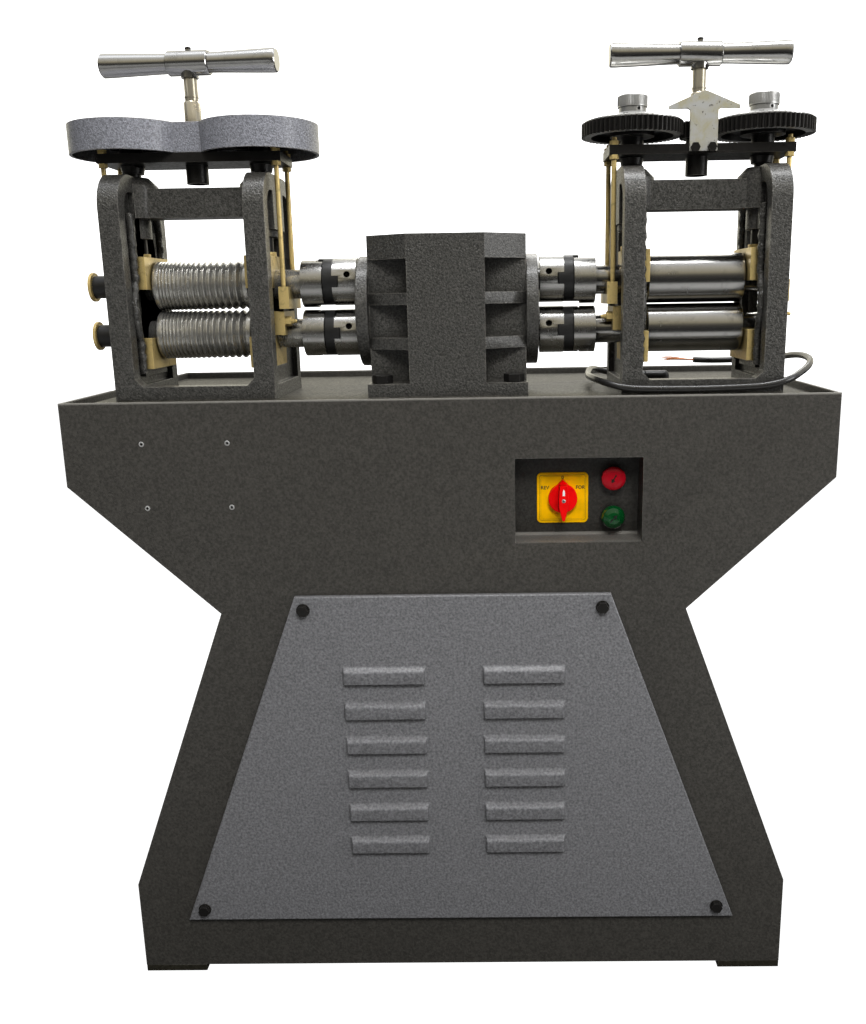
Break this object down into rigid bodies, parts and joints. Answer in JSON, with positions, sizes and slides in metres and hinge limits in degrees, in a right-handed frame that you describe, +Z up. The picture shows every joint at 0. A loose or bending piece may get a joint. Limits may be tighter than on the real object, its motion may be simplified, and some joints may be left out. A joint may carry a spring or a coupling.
{
  "type": "power rolling mill",
  "caption": "Motor-driven jewellers rolling mill: a wire roll stand and a sheet roll stand on a splayed sheet-steel cabinet, coupled to a central gearbox, with hand tees that set the gaps.",
  "frame": {"origin": "on the floor, at the centre of the four foot-bolt holes", "axes": "+X to the right of someone facing the controls, +Y away from them towards the back, +Z up"},
  "size_m": [0.945, 0.515, 1.2066],
  "materials": {
    "cabinet_paint": "dark grey-brown stoved paint with a fine texture",
    "cover_paint": "mid grey stoved paint with a fine texture",
    "casting_paint": "dark grey paint over rough iron castings",
    "grey_cover": "grey hammered paint",
    "motor_casting": "grey paint",
    "pulley_iron": "machined",
    "bright_steel": "turned and ground",
    "roll_steel": "ground and polished",
    "black_steel": "black oxide",
    "bronze": "machined, a little tarnished",
    "aluminium": "turned",
    "yellow_plate": "smooth",
    "red_plastic": "smooth",
    "red_lens": "smooth",
    "green_lens": "smooth",
    "black_plastic": "moulded",
    "black_polymer": "turned",
    "belt_rubber": "matt",
    "cable_rubber": "matt"
  },
  "bodies": {
    "machine": {"cabinet_sides": "cabinet_paint", "cabinet_front": "cabinet_paint", "cabinet_back": "cabinet_paint", "foot_plates": "cabinet_paint", "tray_floor": "cabinet_paint", "bed_plate": "cabinet_paint", "front_cover": "cover_paint", "cover_bolts": "black_steel", "control_box": "cabinet_paint", "switch_plate": "yellow_plate", "switch_bodies": "black_plastic", "drive_motor": "motor_casting", "motor_plate": "cabinet_paint", "drive_belts": "belt_rubber", "gearbox_case": "casting_paint", "gearbox_side_covers": "casting_paint", "hold_down_bolts": "black_steel", "left_housing": "casting_paint", "right_housing": "casting_paint", "lower_bearings": "bronze", "mains_cable": "cable_rubber", "cable_gland": "black_plastic"},
    "motor_rotor": {"motor_pulley": "pulley_iron"},
    "worm_line": {"worm_shaft": "pulley_iron"},
    "lower_line": {"lower_drive_shaft": "bright_steel", "lower_coupling_discs": "black_polymer", "left_lower_roll": "roll_steel", "right_lower_roll": "roll_steel", "left_lower_end_cap": "black_polymer"},
    "upper_shaft": {"upper_drive_shaft": "bright_steel", "upper_coupling_discs": "black_polymer"},
    "left_upper_line": {"left_upper_roll": "roll_steel", "left_upper_hub": "bright_steel", "left_upper_end_cap": "black_polymer"},
    "right_upper_line": {"right_upper_roll": "roll_steel", "right_upper_hub": "bright_steel"},
    "left_lift": {"left_upper_bushes": "bronze", "left_crosshead": "black_steel", "left_hangers": "bronze", "left_gear_cover": "grey_cover"},
    "right_lift": {"right_upper_bushes": "bronze", "right_crosshead": "black_steel", "right_hangers": "bronze", "right_pointer": "aluminium", "pointer_bolts": "black_steel"},
    "left_outer_screw": {"left_outer_screw": "black_steel"},
    "left_inner_screw": {"left_inner_screw": "black_steel"},
    "right_outer_screw": {"right_outer_screw": "bright_steel", "right_outer_gear": "black_steel", "right_outer_dial": "aluminium"},
    "right_inner_screw": {"right_inner_screw": "bright_steel", "right_inner_gear": "black_steel", "right_inner_dial": "aluminium"},
    "left_handle": {"left_spindle": "bright_steel", "left_tee": "bright_steel"},
    "right_handle": {"right_spindle": "bright_steel", "right_tee": "bright_steel"},
    "switch_knob": {"switch_knob": "red_plastic"},
    "red_button": {"red_button": "red_lens"},
    "green_button": {"green_button": "green_lens"}
  },
  "joints": [
    {"name": "motor_spin", "type": "hinge", "parent": "machine", "child": "motor_rotor", "pos_m": [-0.025, 0, 0.22], "axis": [0, 1, 0], "continuous": true},
    {"name": "worm_spin", "type": "hinge", "parent": "machine", "child": "worm_line", "pos_m": [-0.025, 0, 0.8205], "axis": [0, 1, 0], "continuous": true},
    {"name": "lower_roll_spin", "type": "hinge", "parent": "machine", "child": "lower_line", "pos_m": [0, -0.153, 0.8665], "axis": [1, 0, 0], "continuous": true},
    {"name": "upper_shaft_spin", "type": "hinge", "parent": "machine", "child": "upper_shaft", "pos_m": [0, -0.153, 0.9295], "axis": [1, 0, 0], "continuous": true},
    {"name": "left_lift", "type": "slide", "parent": "machine", "child": "left_lift", "axis": [0, 0, 1], "range_m": [0, 0.006]},
    {"name": "left_upper_roll_spin", "type": "hinge", "parent": "left_lift", "child": "left_upper_line", "pos_m": [-0.309, -0.153, 0.9275], "axis": [1, 0, 0], "continuous": true},
    {"name": "left_handle_turn", "type": "hinge", "parent": "left_lift", "child": "left_handle", "pos_m": [-0.309, -0.153, 1.2], "axis": [0, 0, 1], "range_deg": [0, 2590]},
    {"name": "left_outer_screw_turn", "type": "hinge", "parent": "left_lift", "child": "left_outer_screw", "pos_m": [-0.389, -0.153, 1.072], "axis": [0, 0, 1], "range_deg": [-864, 0]},
    {"name": "left_inner_screw_turn", "type": "hinge", "parent": "left_lift", "child": "left_inner_screw", "pos_m": [-0.229, -0.153, 1.072], "axis": [0, 0, 1], "range_deg": [-864, 0]},
    {"name": "right_lift", "type": "slide", "parent": "machine", "child": "right_lift", "axis": [0, 0, 1], "range_m": [0, 0.006]},
    {"name": "right_upper_roll_spin", "type": "hinge", "parent": "right_lift", "child": "right_upper_line", "pos_m": [0.309, -0.153, 0.9275], "axis": [1, 0, 0], "continuous": true},
    {"name": "right_handle_turn", "type": "hinge", "parent": "right_lift", "child": "right_handle", "pos_m": [0.309, -0.153, 1.2], "axis": [0, 0, 1], "range_deg": [0, 2590]},
    {"name": "right_outer_screw_turn", "type": "hinge", "parent": "right_lift", "child": "right_outer_screw", "pos_m": [0.389, -0.153, 1.072], "axis": [0, 0, 1], "range_deg": [-864, 0]},
    {"name": "right_inner_screw_turn", "type": "hinge", "parent": "right_lift", "child": "right_inner_screw", "pos_m": [0.229, -0.153, 1.072], "axis": [0, 0, 1], "range_deg": [-864, 0]},
    {"name": "switch_turn", "type": "hinge", "parent": "machine", "child": "switch_knob", "pos_m": [0.141, -0.212, 0.658], "axis": [0, 1, 0], "range_deg": [-60, 60]},
    {"name": "red_press", "type": "slide", "parent": "machine", "child": "red_button", "axis": [0, 1, 0], "range_m": [0, 0.004], "stiffness_N_per_m": 400, "springref_m": -0.001},
    {"name": "green_press", "type": "slide", "parent": "machine", "child": "green_button", "axis": [0, 1, 0], "range_m": [0, 0.004], "stiffness_N_per_m": 400, "springref_m": -0.001}
  ],
  "couplings": [
    {"joint": "worm_spin", "follows": "motor_spin", "ratio": 1},
    {"joint": "lower_roll_spin", "follows": "motor_spin", "ratio": 0.027778},
    {"joint": "upper_shaft_spin", "follows": "motor_spin", "ratio": -0.027778},
    {"joint": "left_upper_roll_spin", "follows": "motor_spin", "ratio": -0.027778},
    {"joint": "right_upper_roll_spin", "follows": "motor_spin", "ratio": -0.027778},
    {"joint": "left_lift", "follows": "left_handle_turn", "m_per_rad": 0.00013263},
    {"joint": "left_outer_screw_turn", "follows": "left_handle_turn", "ratio": -0.33333},
    {"joint": "left_inner_screw_turn", "follows": "left_handle_turn", "ratio": -0.33333},
    {"joint": "right_lift", "follows": "right_handle_turn", "m_per_rad": 0.00013263},
    {"joint": "right_outer_screw_turn", "follows": "right_handle_turn", "ratio": -0.33333},
    {"joint": "right_inner_screw_turn", "follows": "right_handle_turn", "ratio": -0.33333}
  ]
}
